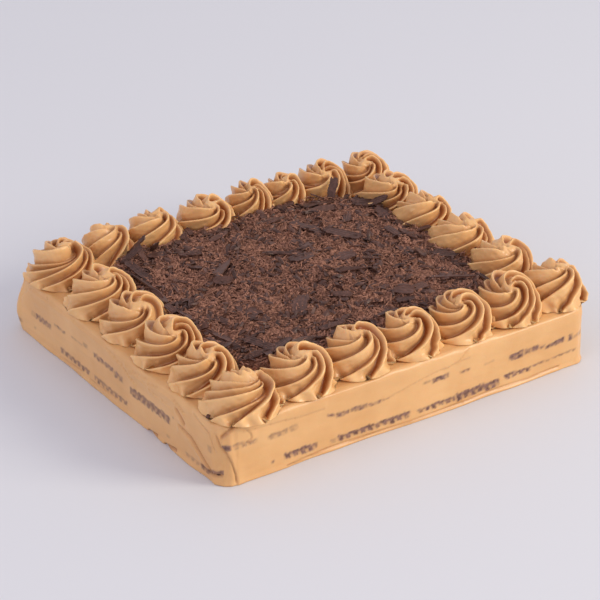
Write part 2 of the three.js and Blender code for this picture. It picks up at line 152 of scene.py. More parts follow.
# Strokes of the knife on the left and front sides: how far the cream stands up on the left of the
# way the stroke runs, how far that reaches, how deep and wide the line along it is pressed, and its
# places. A place is how far round from the near corner, less than 0 on the left side, and a height.
STROKES = [
    (0.45, 5, 0.25, 0.5, [(14, 29), (24, 28), (34, 27.5), (46, 26), (60, 26)]),
    (0.5, 3, 0.3, 0.5, [(15, 29), (17, 26.5), (17.5, 24), (14.5, 22.5), (16, 21.5)]),
    (0.3, 3, 1.3, 1.1, [(9, 34), (6, 32), (2, 29.5), (-1, 27.5)]),
    (0.9, 4, 0.9, 0.7, [(-4.5, 28), (-2.5, 24), (-1.5, 22), (2, 19.5)]),
    (0.7, 4, 0.6, 0.6, [(2, 19.5), (5.5, 13.5), (8, 6), (8.5, 2)]),
    (0.5, 3, 1.6, 0.9, [(-17, 6), (-12, 5), (-7, 5), (-1.5, 6)]),
    (0.8, 4, 0.9, 0.7, [(-9, 6), (-14, 8), (-20, 12), (-28, 16.5), (-38, 18)]),
    (0.4, 3, 1.1, 1.2, [(-34, 21), (-37, 23.5), (-40, 26)]),
    (0.5, 3, 0.5, 0.6, [(-24, 31), (-18, 29), (-10, 27), (-6.5, 20)]),
    (0.6, 7, 0.15, 0.5, [(-80, 23), (-92, 27), (-109, 30), (-150, 30.5), (-190, 29), (-196, 22)]),
    (0.7, 3, 0.2, 0.5, [(-67, 30.5), (-77, 29.5), (-84, 27)]),
    (0.7, 4, 0.2, 0.5, [(-34, 27.5), (-37, 29), (-44, 31), (-53, 31), (-65, 29)]),
    (0.4, 4, 0.15, 0.4, [(-45, 24.5), (-60, 25.5), (-72, 28), (-88, 30)]),
    (0.5, 2, 0.5, 0.5, [(-134, 4), (-145, 3), (-158, 2)]),
    (0.5, 2, 0.5, 0.5, [(-98, 5), (-108, 4), (-126, 3)]),
    (0.2, 2, 2.2, 0.8, [(-68, 0.5), (-60, 1.5)]),
    (0.2, 2, 2.0, 0.8, [(-52, 0.5), (-42, 2)]),
    (0.3, 3, 0.9, 0.5, [(210, 2.5), (190, 2), (165, 2.5), (150, 2), (113, 1.5), (83, 2),
                        (62, 2.5), (38, 1)]),
    (0.5, 3, 0.3, 0.5, [(136, 25), (143, 27.5), (149, 31.5)]),
    (0.4, 4, 0.2, 0.5, [(98, 19), (112, 22), (126, 24.5), (150, 27)]),
]
# Painted shade in the pressed line of a stroke, as a share of a deep fold's painted shade.
LINE_SHADE = 0.45


def strokes(round_corner, z):
    """How far the knife's strokes lift the cream, and how much painted shade their pressed lines get.
    """
    lift, line = np.zeros_like(z), np.zeros_like(z)
    for rise, reach, depth, width, path in STROKES:
        best = np.full_like(z, 1e9)
        side, past = np.zeros_like(z), np.zeros_like(z)
        for number, ((a0, z0), (a1, z1)) in enumerate(zip(path[:-1], path[1:])):
            run, up = a1 - a0, z1 - z0
            share = ((round_corner - a0) * run + (z - z0) * up) / (run * run + up * up)
            held = np.clip(share, 0, 1)
            gap = np.hypot(round_corner - a0 - held * run, z - z0 - held * up)
            nearer = gap < best
            best = np.where(nearer, gap, best)
            cross = run * (z - z0) - up * (round_corner - a0)
            side = np.where(nearer, np.sign(cross), side)
            off = np.maximum(share - 1, 0) if number == len(path) - 2 else 0
            off = off + (np.maximum(-share, 0) if number == 0 else 0)
            past = np.where(nearer, off * math.hypot(run, up), past)
        fade = np.exp(-((past / 2) ** 2))
        pressed = depth * np.exp(-((best / width) ** 2)) * fade
        lift += rise * np.exp(-((best / reach) ** 2)) * (side > 0) * fade - pressed
        line = np.maximum(line, LINE_SHADE * np.minimum(1, pressed))
    return lift, line


# The block's profile: how far each row of the skin is drawn in from the outline and its height, up
# the side, over the rounded edge, given by its drop from the top, and in to the middle.
SIDE_ROWS, BLOCK_COLUMNS = 44, 1200
EDGE = [(0.3, 2.6), (0.5, 1.6), (0.8, 1.0), (1.25, 0.55), (1.9, 0.22), (2.8, 0.05)]
TOP_INSETS = [3.8, 5, 6.5, 8, 10, 12, 15, 19, 25, 35, 50, 75, CAKE_WIDTH / 2]
side_heights = list(np.linspace(0.6, CAKE_HEIGHT - 3.2, SIDE_ROWS))
profile = [(CAKE_WIDTH / 2, 0), (3, 0), (0.9, 0), (0.4, 0.2)] + [(0.2, z) for z in side_heights]
profile += [(inset, CAKE_HEIGHT - drop) for inset, drop in EDGE]
profile = np.array(profile + [(inset, CAKE_HEIGHT) for inset in TOP_INSETS])

# How far the far left corner bulges, at what height, and how far it is drawn in at the top. How
# far the foot stands out and how high it is. How far the lip stands up, and the top's waves.
BULGE_OUT, BULGE_HEIGHT, TOP_IN = 3.2, 12, 3.0
FOOT_OUT, FOOT_HEIGHT = 0.9, 3.2
LIP_RISE, TOP_WAVE = 0.6, 0.35


def block_place(u, v):
    """The block's skin: u goes round its outline, v along its profile."""
    row = np.rint(v * (len(profile) - 1)).astype(int)
    inset, z = profile[row, 0], profile[row, 1]
    # The grid is closer on the sides that have the strokes.
    u = u - 0.45 * np.sin(2 * math.pi * u) / (2 * math.pi)
    x, y, nx, ny = outline(u, inset)
    # The sides' relief dies away under the block and over its edge.
    side = ramp(9, 2.5, inset)
    foot = ramp(FOOT_HEIGHT, 0.4, z) * (0.5 + 0.5 * ripple(x, y, 0 * z, 23, 8)) * (z > 0)
    out = knife_marks(x, y, z, nx, ny) + FOOT_OUT * foot
    round_corner = (x + CAKE_LENGTH / 2) - (y + CAKE_WIDTH / 2)
    # Only the left and front sides have strokes.
    seen = (nx + ny < 0.2) & (inset < 12)
    lift, line = strokes(np.where(seen, round_corner, 1e3), z)
    # The far left corner bulges at half height and is drawn in at the top.
    corner = np.exp(-(((round_corner + CAKE_WIDTH) / 15) ** 2)) * (x < -60)
    bulge = BULGE_OUT * np.exp(-(((z - BULGE_HEIGHT) / 9) ** 2)) - TOP_IN * ramp(20, CAKE_HEIGHT, z)
    out = (out + lift + corner * bulge) * side
    lip = np.exp(-(((inset - 2.2) / 1.3) ** 2)) * (z > CAKE_HEIGHT - 1)
    z = z + LIP_RISE * lip * np.clip(ripple(x, y, 0 * z, 19, 9), -0.4, 1)
    top = ramp(2.5, 6, inset) * (z > CAKE_HEIGHT - 1)
    z = z + top * TOP_WAVE * ripple(x, y, 0 * z, 18, 10)
    # The last value is painted shade along the strokes' pressed lines.
    return x + nx * out, y + ny * out, z, line * seen * side


block = sheet("iced_block", BLOCK_COLUMNS, len(profile) - 1, block_place)

# Where the knife ran thin, the biscuits' toothed edges show as a dark veil under the cream: one
# row gives the side, the stretch along it, the heights at its two ends, how tall and how strong
# the marks are, and how far they break up into teeth.
TOOTH_PITCH = 4.45
VEILS = [
    ("front", -115.5, -109, 22.0, 22.2, 3.0, 0.85, 0.0),
    ("front", -108.5, -94, 22.0, 21.5, 3.0, 0.42, 0.8),
    ("front", -88, -76, 20.6, 20.8, 3.0, 0.5, 0.7),
    ("front", -76, -70, 21.0, 21.4, 2.6, 0.3, 0.7),
    ("front", -53, -48, 21.8, 20.2, 1.3, 0.8, 0.0),
    ("front", -47.5, -39, 19.6, 19.8, 2.5, 0.85, 0.5),
    ("front", -39, -28, 19.8, 19.4, 2.5, 0.6, 0.3),
    ("front", -28, -19.5, 19.0, 18.9, 1.9, 0.75, 0.5),
    ("front", -19.5, -14, 19.2, 19.3, 0.8, 0.4, 0.0),
    ("front", 6, 11.5, 20.8, 20.6, 1.4, 0.45, 0.6),
    ("front", 11.5, 22.5, 20.2, 20.8, 2.6, 0.85, 0.6),
    ("front", 29, 36, 19.8, 19.7, 1.3, 0.65, 0.6),
    ("front", 45, 52, 19.6, 19.6, 1.3, 0.25, 0.0),
    ("front", 61.5, 71, 18.0, 18.2, 4.0, 1.0, 0.25),
    ("front", 71, 76, 18.6, 18.6, 3.2, 0.6, 0.3),
    ("front", 76, 81, 18.6, 18.4, 3.0, 0.9, 0.3),
    ("front", 81, 85.5, 17.4, 18.5, 1.4, 0.6, 0.8),
    ("front", 85.5, 98, 17.0, 18.3, 2.6, 0.9, 0.1),
    ("front", 100.8, 103.6, 18.0, 18.0, 4.0, 0.95, 0.0),
    ("front", 103.6, 112, 17.6, 18.2, 2.2, 0.4, 0.3),
    ("front", -86, -84, 6.2, 6.2, 1.4, 0.9, 0.0),
    ("front", -78.5, -58.5, 6.6, 6.6, 3.6, 0.95, 0.85),
    ("front", -51, -46.5, 5.6, 5.7, 2.6, 0.35, 0.8),
    ("front", -46.5, -1.5, 5.9, 5.9, 3.2, 0.95, 0.9),
    ("front", 2.5, 11, 5.6, 5.6, 2.2, 0.75, 0.9),
    ("front", 11, 27, 5.7, 5.8, 2.9, 0.9, 0.9),
    ("front", 27, 55.5, 5.9, 6.1, 4.2, 1.0, 0.75),
    ("front", 58.5, 76.5, 7.6, 7.7, 2.6, 0.95, 0.9),
    ("front", 76.5, 107, 8.4, 9.6, 1.1, 0.6, 0.95),
    ("left", 80, 84.5, 15.8, 15.6, 2.6, 0.35, 0.0),
    ("left", 63.5, 80, 15.6, 15.6, 3.0, 0.85, 0.7),
    ("left", 48, 60, 18.8, 19.2, 1.5, 0.7, 0.8),
    ("left", 30, 42, 20.0, 20.0, 0.7, 0.5, 0.6),
    ("left", 24.5, 29.8, 21.2, 21.2, 2.4, 0.4, 0.3),
    ("left", -2, 18.8, 19.8, 20.0, 2.8, 0.8, 0.5),
    ("left", -11.6, -2, 18.8, 18.8, 3.4, 0.7, 0.6),
    ("left", -56.2, -18.4, 16.5, 16.5, 4.6, 0.95, 0.6),
    ("left", -60, -58.4, 20.0, 20.0, 1.4, 0.6, 0.0),
    ("left", -94.5, -90.5, 18.5, 18.5, 3.5, 0.35, 0.0),
    ("left", 93.5, 100, 7.4, 7.4, 2.8, 0.55, 0.0),
    ("left", 80.5, 82.5, 7.5, 7.5, 1.2, 0.5, 0.0),
    ("left", 23.5, 54.5, 6.4, 6.6, 3.0, 0.85, 0.9),
    ("left", -15, 18.5, 6.4, 6.4, 2.9, 0.75, 0.9),
    ("left", -56, -52, 6.7, 6.7, 1.4, 0.35, 0.0),
    ("left", -83, -69.5, 4.6, 4.6, 2.0, 0.45, 0.9),
    ("left", -92.5, -83.5, 4.6, 4.6, 3.0, 0.9, 0.8),
    ("left", -104.5, -92.5, 8.6, 5.6, 2.4, 1.0, 0.0),
]


def veil_at(x, y, z, side):
    """How strongly a biscuit shows at places on a side, from 0 to 1."""
    along = x if side == "front" else y
    seen = np.zeros_like(along)
    ragged = ripple(x, y, z, 3.1, 21)
    for where, start, end, low, high, tall, strength, teeth in VEILS:
        if where != side:
            continue
        share = np.clip((along - start) / (end - start), 0, 1)
        middle = low + (high - low) * share
        half = 0.5 * tall * (1 + 0.22 * ragged)
        up = ramp(half + 0.6, half - 0.5, np.abs(z - middle))
        ends = ramp(start - 0.7, start + 1.1, along) * ramp(end + 0.7, end - 1.1, along)
        slanted = along + 0.35 * (z - middle)
        tooth = 0.5 + 0.5 * np.cos((slanted - start - TOOTH_PITCH / 2) * 2 * math.pi / TOOTH_PITCH)
        gaps = 0.85 * teeth * ramp(0.6, -0.3, (z - middle) / half)
        mark = 1 - gaps * (1 - ramp(0.1, 0.7, tooth))
        patchy = 0.86 + 0.25 * ragged
        seen = np.maximum(seen, strength * up * ends * mark * patchy)
    return np.clip(1.25 * seen, 0, 1)


# How near its side a mark lies and the height they all stay under. The left side's marks are a
# little fainter than the front's.
VEIL_REACH, VEIL_TOP, LEFT_VEIL = 3, 30, 0.85
spots = places_of(block)
on_front = (spots[:, 1] < -CAKE_WIDTH / 2 + VEIL_REACH) & (spots[:, 2] < VEIL_TOP)
on_left = (spots[:, 0] < -CAKE_LENGTH / 2 + VEIL_REACH) & (spots[:, 2] < VEIL_TOP)
veil = np.zeros(len(spots))
veil[on_front] = veil_at(*spots[on_front].T, "front")
veil[on_left] = np.maximum(veil[on_left], LEFT_VEIL * veil_at(*spots[on_left].T, "left"))
set_layer(block, "biscuit_veil", veil)


def material(name):
    """A new material, with its nodes and links."""
    made = bpy.data.materials.new(name)
    made.use_nodes = True
    return made, made.node_tree.nodes, made.node_tree.links


def node(nodes, kind, **settings):
    """A new node. A setting that starts with in_ is the value of the input of that name."""
    made = nodes.new(kind)
    for key, value in settings.items():
        if key.startswith("in_"):
            made.inputs[key[3:].replace("_", " ")].default_value = value
        else:
            setattr(made, key, value)
    return made


def mixed(nodes, links, share, low, high):
    """Mixes two colours, each a value or another node's output, by share."""
    mix = nodes.new("ShaderNodeMix")
    mix.data_type = "RGBA"
    for socket, value in ((mix.inputs[6], low), (mix.inputs[7], high)):
        if isinstance(value, tuple):
            socket.default_value = (*value, 1)
        else:
            links.new(value, socket)
    if isinstance(share, float):
        mix.inputs[0].default_value = share
    else:
        links.new(share, mix.inputs[0])
    return mix.outputs[2]


def spread(nodes, links, value, low, high):
    """Stretches the part of a value between low and high over 0 to 1."""
    made = nodes.new("ShaderNodeMapRange")
    made.inputs["From Min"].default_value = low
    made.inputs["From Max"].default_value = high
    links.new(value, made.inputs["Value"])
    return made.outputs["Result"]


# Coffee buttercream: beaten butter and sugar, satin where the knife or the nozzle smoothed it, with
# painted light paling its crests and painted shade deepening its folds, with pin holes and a fine
# grain of sugar.
buttercream, nodes, links = material("coffee_buttercream")
shader = nodes["Principled BSDF"]
where = node(nodes, "ShaderNodeTexCoord").outputs["Object"]
patches = node(nodes, "ShaderNodeTexNoise", in_Scale=38.0, in_Detail=3.0)
grain = node(nodes, "ShaderNodeTexNoise", in_Scale=900.0, in_Detail=3.0, in_Roughness=0.6)
smear = node(nodes, "ShaderNodeTexNoise", in_Scale=420.0, in_Detail=2.0)
pores = node(nodes, "ShaderNodeTexVoronoi", in_Scale=210.0, in_Randomness=1.0)
for texture in (patches, grain, smear, pores):
    links.new(where, texture.inputs["Vector"])
body = mixed(nodes, links, spread(nodes, links, patches.outputs["Fac"], 0.35, 0.65),
             (0.70, 0.388, 0.158), (0.77, 0.453, 0.199))
# Painted light: the crest attribute pales the rosettes towards this light tone, a little all over and
# more on each raised crest.
crest_light_share = node(nodes, "ShaderNodeAttribute", attribute_name="crest").outputs["Fac"]
crest_lit = mixed(nodes, links, crest_light_share, body, (0.86, 0.52, 0.225))
crease_shade = node(nodes, "ShaderNodeAttribute", attribute_name="crease_shade").outputs["Fac"]
# Painted shade: the cream is darkened towards this deep brown in the rosettes' folds and along the
# knife's pressed lines.
shaded_cream = mixed(nodes, links, crease_shade, crest_lit, (0.29, 0.072, 0.011))
veiled = node(nodes, "ShaderNodeAttribute", attribute_name="biscuit_veil").outputs["Fac"]
crumbly = mixed(nodes, links, spread(nodes, links, smear.outputs["Fac"], 0.35, 0.6),
                (0.125, 0.058, 0.043), (0.26, 0.140, 0.105))
links.new(mixed(nodes, links, veiled, shaded_cream, crumbly), shader.inputs["Base Color"])
gloss = nodes.new("ShaderNodeMapRange")
gloss.inputs["To Min"].default_value, gloss.inputs["To Max"].default_value = 0.22, 0.42
links.new(patches.outputs["Fac"], gloss.inputs["Value"])
links.new(gloss.outputs["Result"], shader.inputs["Roughness"])
shader.inputs["Subsurface Weight"].default_value = 0.15
shader.inputs["Subsurface Radius"].default_value = (0.0045, 0.0022, 0.001)
shader.inputs["Subsurface Scale"].default_value = 0.3
shader.inputs["IOR"].default_value = 1.42
holes = spread(nodes, links, pores.outputs["Distance"], 0.0, 0.09)
fine = node(nodes, "ShaderNodeBump", in_Strength=0.12, in_Distance=0.0004)
links.new(grain.outputs["Fac"], fine.inputs["Height"])
pitted = node(nodes, "ShaderNodeBump", in_Strength=0.25, in_Distance=0.0004)
links.new(holes, pitted.inputs["Height"])
links.new(fine.outputs["Normal"], pitted.inputs["Normal"])
links.new(pitted.outputs["Normal"], shader.inputs["Normal"])

block.data.materials.append(buttercream)
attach(block, "root")
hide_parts("cream")

# ---------------------------------------------------------------- the biscuits
# Two layers of dark chocolate biscuits with toothed edges, pressed into the cream while it was
# soft. The knife bared the tips of their teeth here and there along the front and the left.

# The middle height of each layer and where its waves start.
LAYER_HEIGHTS = {"lower": 6.2, "upper": 19.2}
LAYER_WAVES = {"lower": 2.4, "upper": 0.6}
BISCUIT_THICKNESS, BISCUIT_COLUMNS = 3.6, 900
# How deep in the cream the edges lie between their teeth, and how far the teeth stand out of them.
BISCUIT_DEPTH, TOOTH_OUT = 1.6, 0.5
# Up an edge: how far each row is drawn in, and its height as a share of the thickness.
BISCUIT_EDGE = np.array([(60, -0.5), (6, -0.5), (0.5, -0.5), (0.12, -0.4), (0, -0.2), (0, 0),
                         (0, 0.2), (0.12, 0.4), (0.5, 0.5), (6, 0.5), (60, 0.5)])


def biscuit_layer(layer):
    """One layer's closed skin, its toothed edge just under the cream's."""
    base, start = LAYER_HEIGHTS[layer], LAYER_WAVES[layer]

    def place(u, v):
        row = np.rint(v * (len(BISCUIT_EDGE) - 1)).astype(int)
        x, y, nx, ny = outline(u, 0)
        wave = np.sin(x / 37 + start) + np.sin(y / 31 - start)
        z = base + 0.5 * wave + 0.9 * BISCUIT_THICKNESS * BISCUIT_EDGE[row, 1]
        tooth = 0.5 + 0.5 * np.cos((x * -ny + y * nx) * 2 * math.pi / TOOTH_PITCH)
        depth = BISCUIT_DEPTH - TOOTH_OUT * ramp(0.1, 0.8, tooth) + BISCUIT_EDGE[row, 0]
        depth = np.where((v == 0) | (v == 1), CAKE_WIDTH / 2, depth)
        x, y, nx, ny = outline(u, depth)
        return x, y, z

    return sheet("biscuits_" + layer, BISCUIT_COLUMNS, len(BISCUIT_EDGE) - 1, place)


# Baked dark cocoa dough: matt, finely pitted, a little lighter where cream was wiped over it.
biscuit, nodes, links = material("cocoa_biscuit")
shader = nodes["Principled BSDF"]
where = node(nodes, "ShaderNodeTexCoord").outputs["Object"]
crumb = node(nodes, "ShaderNodeTexNoise", in_Scale=700.0, in_Detail=4.0, in_Roughness=0.7)
wiped = node(nodes, "ShaderNodeTexNoise", in_Scale=260.0, in_Detail=2.0)
links.new(where, crumb.inputs["Vector"])
links.new(where, wiped.inputs["Vector"])
dough = mixed(nodes, links, crumb.outputs["Fac"], (0.045, 0.022, 0.016), (0.11, 0.055, 0.038))
links.new(mixed(nodes, links, spread(nodes, links, wiped.outputs["Fac"], 0.5, 0.72), dough,
                (0.33, 0.19, 0.11)), shader.inputs["Base Color"])
shader.inputs["Roughness"].default_value = 0.85
bump = node(nodes, "ShaderNodeBump", in_Strength=0.6, in_Distance=0.0005)
links.new(crumb.outputs["Fac"], bump.inputs["Height"])
links.new(bump.outputs["Normal"], shader.inputs["Normal"])

for layer in ("lower", "upper"):
    biscuits = biscuit_layer(layer)
    biscuits.data.materials.append(biscuit)
    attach(biscuits, "root")
    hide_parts("biscuit_layer_" + layer)

# ---------------------------------------------------------------- the piped border
# Twenty-three rosettes of the same buttercream, piped through a star nozzle in one turn of the
# wrist. Their ridges sweep out of an eye, where the nozzle was pulled away, and fold over each
# other like petals down to a ruffled foot.

# One row a rosette: node, how many ridges, the bearing of the first at the foot and how far they
# turn in degrees, and the eye's bearing and how far out it lies as a share of the radius.
ROSETTES = [
    ("corner_front_left", 8, 10, 200, 0, 0.55),
    ("front_1", 7, 20, 170, -92, 0.3),
    ("front_2", 7, 5, 185, -75, 0.1),
    ("front_3", 6, 35, 185, -130, 0.32),
    ("front_4", 6, 15, 200, -125, 0.4),
    ("front_5", 7, 30, 180, -122, 0.55),
    ("corner_front_right", 7, 0, 130, -45, 0.4),
    ("right_1", 7, 25, 150, -55, 0.35),
    ("right_2", 8, 10, 140, -45, 0.5),
    ("right_3", 8, 30, 140, -45, 0.5),
    ("right_4", 8, 15, 160, -90, 0.45),
    ("corner_back_right", 7, 0, 180, -120, 0.45),
    ("back_6", 8, 20, 160, -105, 0.5),
    ("back_5", 8, 35, 150, -95, 0.4),
    ("back_4", 8, 5, 140, -100, 0.35),
    ("back_3", 7, 25, 170, -70, 0.45),
    ("back_2", 8, 40, 150, 5, 0.4),
    ("back_1", 8, 15, 140, 20, 0.4),
    ("corner_back_left", 10, 0, 200, -40, 0.2),
    ("left_4", 7, 20, 180, -60, 0.3),
    ("left_3", 6, 5, 170, -110, 0.42),
    ("left_2", 6, 30, 180, -110, 0.5),
    ("left_1", 7, 15, 150, -100, 0.4),
]
ROSETTE_BASE = CAKE_HEIGHT + 0.1
DOME_FULLNESS, HEM_FLARE = 0.75, 0.14
# The body's share of its solid's radius and height: the ridges stand out past it.
BODY_RADIUS, BODY_HEIGHT = 0.97, 0.95
# A ridge across, in mm from its crest towards its fold: how far it lifts the cream, how far it
# drags it to the fold and how much painted shade darkens the fold.
RIDGE_SPANS = [-5, -3, -1.8, -0.9, -0.2, 0.25, 0.7, 1.3, 2.2, 3.5, 5.5, 7]
RIDGE_LIFTS = [0, 0.1, 0.5, 1.25, 2.1, 1.7, -0.6, -2.7, -3.0, -1.8, -0.4, 0]
DRAG_SPANS, DRAGS = [-3, -0.7, 0.3, 1.2, 2.0, 4], [0, 0.4, 0.7, -0.5, -0.5, 0]
FOLD_SPANS, FOLD_SHADES = [0.2, 0.8, 1.4, 2.3, 4.0], [0, 0.8, 1, 0.4, 0]
LOWEST_FOLD, HIGHEST_CREST = -3.5, 2.3
HEM_RUFFLES, RUFFLE_DEPTH = 9, 0.8
# How much painted light pales the cream where no ridge lifts it, and how much more for each mm that
# one does.
CREST_LIGHT_BASE, CREST_LIGHT_GAIN = 0.28, 0.4
# How the ridges differ: the share of the turn that each sweeps, how far its foot strays as a share
# of the gap to the next, how near the eye it begins, and how strong it is.
SWEEP_SHARES, FOOT_STRAY = (0.85, 1.15), 0.22
START_SHARES, STRENGTHS = (0.7, 0.94), (0.75, 1.1)
# The places along a crest, in mm apart.
CREST_STEP = 0.5


def dome(radius, height, bearing, climb):
    """Places on a rosette's body, before its ridges, and the way out of it there."""
    def place(bearing, climb):
        phase = np.clip(climb, 0, 1) * math.pi / 2
        flat = radius * np.maximum(np.cos(phase), 1e-4) ** DOME_FULLNESS
        flat = flat * (1 + HEM_FLARE * np.clip(1 - climb / 0.25, 0, 1) ** 2)
        return np.stack([flat * np.cos(bearing), flat * np.sin(bearing),
                         height * np.sin(phase)], -1)

    little = 0.004
    round_it = place(bearing + little, climb) - place(bearing - little, climb)
    up_it = place(bearing, climb + little) - place(bearing, climb - little)
    out = np.cross(round_it, up_it)
    return place(bearing, climb), out / (np.linalg.norm(out, axis=-1, keepdims=True) + 1e-12)


def crest(radius, height, x, y):
    """A ridge's crest over places in the dome's plan, given as shares of its radius, at even steps:
    the places on the dome, the way out of it, the way along and the way to the fold."""
    climb = np.arccos(np.clip(np.hypot(x, y), 0, 1) ** (1 / DOME_FULLNESS)) * 2 / math.pi
    rough, _ = dome(radius, height, np.arctan2(y, x), climb)
    run = np.append(0, np.cumsum(np.linalg.norm(np.diff(rough, axis=0), axis=1)))
    even = np.linspace(0, run[-1], max(4, int(run[-1] / CREST_STEP)))
    x, y, climb = (np.interp(even, run, value) for value in (x, y, climb))
    places, out = dome(radius, height, np.arctan2(y, x), climb)
    along = np.gradient(places, axis=0)
    along /= np.linalg.norm(along, axis=1, keepdims=True) + 1e-12
    return places, out, along, np.cross(along, out)


def fold_over(points, places, out, along, side, strength):
    """What one ridge does at points on the dome: how far it lifts them, how far it drags them to
    its fold, which way that is, and how much painted shade they get in the fold."""
    gap2 = ((points ** 2).sum(1)[:, None] + (places ** 2).sum(1)[None]
            - 2 * points @ places.T)
    near = gap2.argmin(1)
    away = points - places[near]
    across = (away * side[near]).sum(1)
    beyond = (away * along[near]).sum(1)
    span = np.sqrt(np.maximum((away ** 2).sum(1) - beyond ** 2, 0)) * np.sign(across)
    past_end = np.where(near == 0, np.maximum(-beyond, 0), 0)
    past_end += np.where(near == len(places) - 1, np.maximum(beyond, 0), 0)
    run = np.arange(len(places)) * CREST_STEP
    # A ridge weakens towards its two ends, but not at the rosette's foot.
    ends = np.minimum(1, 0.3 + np.minimum(run, run[::-1]) / 3)
    ends = np.maximum(ends, ramp(4, 2, places[:, 2]))
    share = (strength * ends)[near] * np.exp(-((past_end / 1.1) ** 2))
    lift = np.interp(span, RIDGE_SPANS, RIDGE_LIFTS)
    drag = np.interp(span, DRAG_SPANS, DRAGS)
    fold_shade = np.interp(span, FOLD_SPANS, FOLD_SHADES)
    return lift * share, (drag * share)[:, None] * side[near], fold_shade * share


# The rows of a rosette's skin, spaced evenly along the climb of a middling one.
ROSETTE_COLUMNS, ROSETTE_ROWS = 256, 84
MIDDLING_SIZE, CLIMB_STEPS = 18, 400
climbs = np.linspace(0, 1, CLIMB_STEPS)
climbed, _ = dome(MIDDLING_SIZE, MIDDLING_SIZE, np.zeros(CLIMB_STEPS), climbs)
climbed = np.append(0, np.cumsum(np.linalg.norm(np.diff(climbed, axis=0), axis=1)))


def swirl_lines(radius, height, ridges, first, turn, eye, draw):
    """The crests of a rosette's ridges, each a spiral out of the eye, no two quite alike."""
    lines = []
    for number in range(ridges):
        sweep = math.radians(turn * draw.uniform(*SWEEP_SHARES))
        stray = draw.uniform(-FOOT_STRAY, FOOT_STRAY)
        foot = math.radians(first) + 2 * math.pi * (number + stray) / ridges
        share = 1 - np.linspace(draw.uniform(*START_SHARES), 0, 80) ** 1.5
        climb = np.arccos(share ** (1 / DOME_FULLNESS)) * 2 / math.pi
        bearing = foot + sweep * (0.4 * (1 - share) + 0.75 * climb)
        x = share * np.cos(bearing) + eye[0] * (1 - share) ** 0.9
        y = share * np.sin(bearing) + eye[1] * (1 - share) ** 0.9
        line = crest(radius, height, x, y)
        lines.append((*line, np.full(len(line[0]), draw.uniform(*STRENGTHS))))
    return lines


def rosette(name, x, y, radius, height, ridges, first, turn, eye, seed):
    """One rosette's closed skin: a dome, its ridges with the folds between, and a ruffled hem."""
    draw = np.random.default_rng(seed)
    lines = swirl_lines(radius, height, ridges, first, turn, eye, draw)
    start = draw.uniform(0, 2 * math.pi)

    def place(u, v):
        share = np.clip((v - 1 / ROSETTE_ROWS) / (1 - 1 / ROSETTE_ROWS), 0, 1)
        climb = np.interp(share * climbed[-1], climbed, climbs)
        points, out = dome(radius, height, 2 * math.pi * u, climb)
        lift, drag, fold_shade = np.zeros(len(u)), np.zeros((len(u), 3)), np.zeros(len(u))
        for line in lines:
            up, over, inside = fold_over(points, *line)
            lift, drag, fold_shade = lift + up, drag + over, np.maximum(fold_shade, inside)
        hem = ramp(0.3, 0.02, climb)
        sway = 2 * np.sin(6 * math.pi * u + seed)
        ruffle = np.sin(HEM_RUFFLES * 2 * math.pi * u + start + 14 * climb + sway)
        lift = np.clip(lift + RUFFLE_DEPTH * hem * ruffle, LOWEST_FOLD, HIGHEST_CREST)
        points = points + out * lift[:, None] + drag
        px, py, pz = points.T
        px, py = px + x, py + y
        wave = 0.4 * ripple(px, py, pz, 12, seed + 1) + 0.12 * ripple(px, py, pz, 3.5, seed + 2)
        px, py, pz = px + wave * out[:, 0], py + wave * out[:, 1], pz + wave * out[:, 2]
        middle = v < 0.5 / ROSETTE_ROWS
        px, py = np.where(middle, x, px), np.where(middle, y, py)
        pz = np.where(middle, 0, np.maximum(pz, 0))
        # Painted light on the raised crests, and painted shade in the folds, handed to the material.
        crest_lit = np.clip(CREST_LIGHT_BASE + CREST_LIGHT_GAIN * lift, 0, 1)
        return px, py, pz + ROSETTE_BASE, fold_shade, crest_lit

    return sheet(name, ROSETTE_COLUMNS, ROSETTE_ROWS, place)


# Each rosette stands where its solid does. feet keeps their places and radii for the chocolate.
feet = []
for seed, (suffix, ridges, first, turn, eye_bearing, eye_reach) in enumerate(ROSETTES):
    low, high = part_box("rosette_" + suffix)
    centre = ((low + high) / 2 - block_centre) / MM
    radius = (high.x - low.x + high.y - low.y) / 4 / MM
    height = high.z / MM - ROSETTE_BASE
    feet.append((centre.x, centre.y, radius))
    eye = (eye_reach * math.cos(math.radians(eye_bearing)),
           eye_reach * math.sin(math.radians(eye_bearing)))
    swirl = rosette("piped_" + suffix, centre.x, centre.y, BODY_RADIUS * radius,
                    BODY_HEIGHT * height, ridges, first, turn, eye, seed)
    swirl.data.materials.append(buttercream)
    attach(swirl, "root")
    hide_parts("rosette_" + suffix)

# ---------------------------------------------------------------- the chocolate bed
# Dark chocolate, grated and shaved over the middle of the cake inside the border: a springy mat of
# fine curls a few millimetres long, with broken flakes and broad shavings lying in it, and more of
# the big dark pieces where the mat meets the rosettes.

BED_REACH_X, BED_REACH_Y = 88.0, 78.0
BED_EDGE_HEIGHT, BED_MIDDLE_HEIGHT = 7.6, 10.6
BED_COLUMNS, BED_ROWS = 420, 112
# How strong the fine relief is in the bed's skin and in the height of the curls on it, and how far
# the skin drops at its edge.
BED_RELIEF, CURL_RELIEF, EDGE_DROP = 0.8, 0.45, 2.2
# The skin turns down past 1 of its reach, ends at TURN_IN and is closed in the middle from CLOSED.
TURN_IN, CLOSED = 1.12, 1.1


def bed_top(x, y):
    """The height of the bed's body, before the loose shavings on it."""
    away = np.minimum(1, np.hypot(x / BED_REACH_X, y / BED_REACH_Y))
    dome = BED_MIDDLE_HEIGHT + (BED_EDGE_HEIGHT - BED_MIDDLE_HEIGHT) * away ** 2
    lumps = 0.9 * ripple(x, y, 0 * x, 24, 31) + 0.5 * ripple(x, y, 0 * x, 9, 32)
    return CAKE_HEIGHT + dome + lumps


